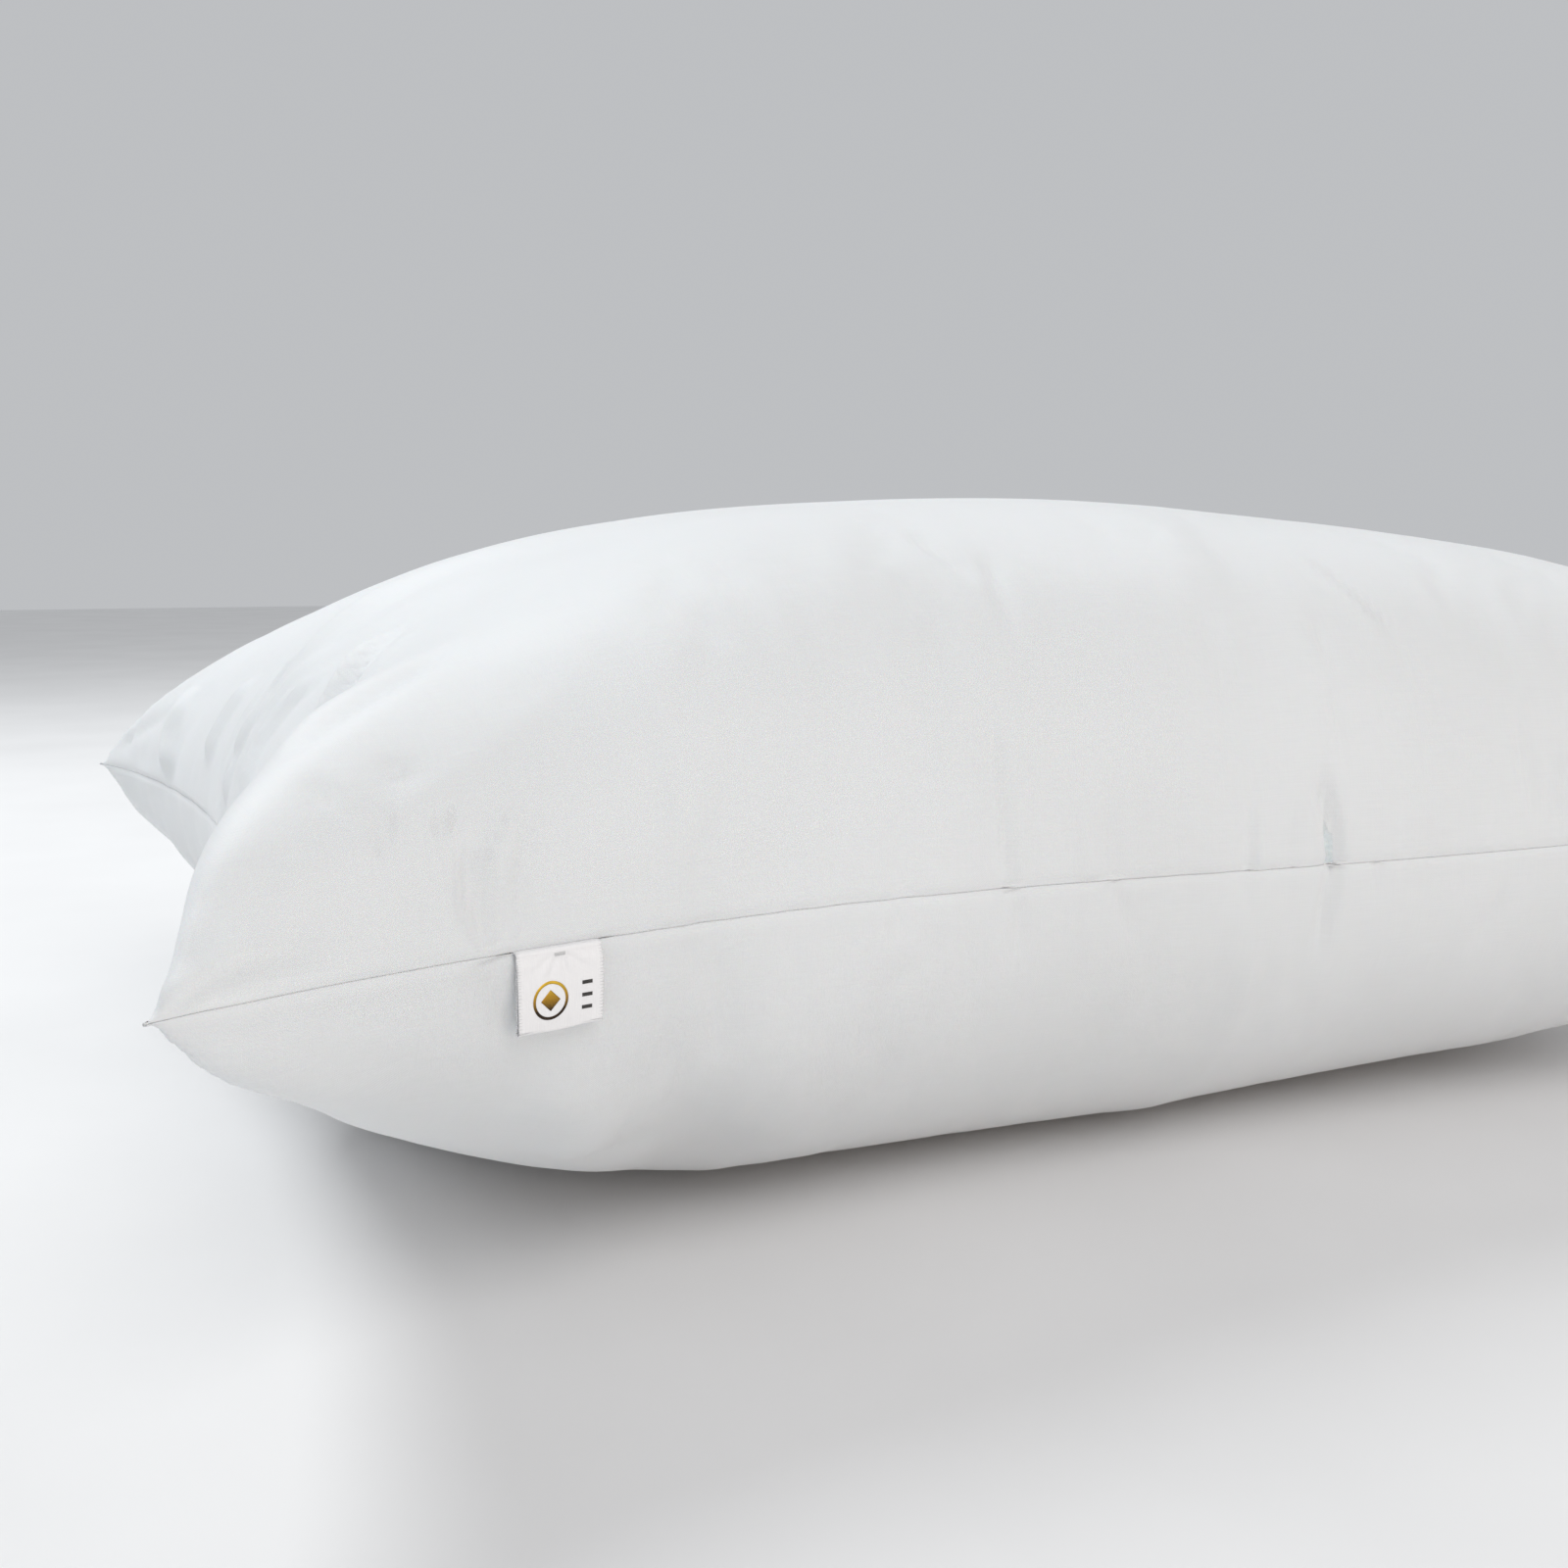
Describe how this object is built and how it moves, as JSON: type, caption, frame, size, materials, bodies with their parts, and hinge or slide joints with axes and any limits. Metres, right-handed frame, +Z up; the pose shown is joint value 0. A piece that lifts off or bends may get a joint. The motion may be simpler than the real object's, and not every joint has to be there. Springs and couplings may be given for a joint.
{
  "type": "bed pillow",
  "caption": "Stuffed rectangular bed pillow: white cloth envelope with a plain knife-edge seam, fibre filling and a folded ribbon label that swings.",
  "frame": {"origin": "middle of the pressed-flat bed face, under the middle of the pillow", "axes": "+X along the pillow's length, +Y across it away from the side that carries the label, +Z up from the bed through its thickness"},
  "size_m": [0.704, 0.472, 0.238],
  "materials": {
    "shell_cloth": "smooth fine weave with a soft sheen",
    "fibre": "fluffy",
    "thread": "twisted thread",
    "ribbon": "satin",
    "gold_foil": "metallic foil print",
    "black_foil": "gloss foil print"
  },
  "bodies": {
    "pillow": {"top_panel": "shell_cloth", "bottom_panel": "shell_cloth", "fibre_fill": "fibre", "perimeter_seam_thread": "thread", "overlock_thread": "thread", "closing_seam_thread": "thread", "label_seam_tail": "ribbon"},
    "label": {"label_ribbon": "ribbon", "label_emblem": "gold_foil", "label_bars": "black_foil", "label_tack_thread": "thread"}
  },
  "joints": [
    {"name": "label_flap", "type": "hinge", "parent": "pillow", "child": "label", "pos_m": [-0.25054, -0.20547, 0.116], "axis": [-0.9756, -0.2196, 0], "range_deg": [0, 165]}
  ]
}
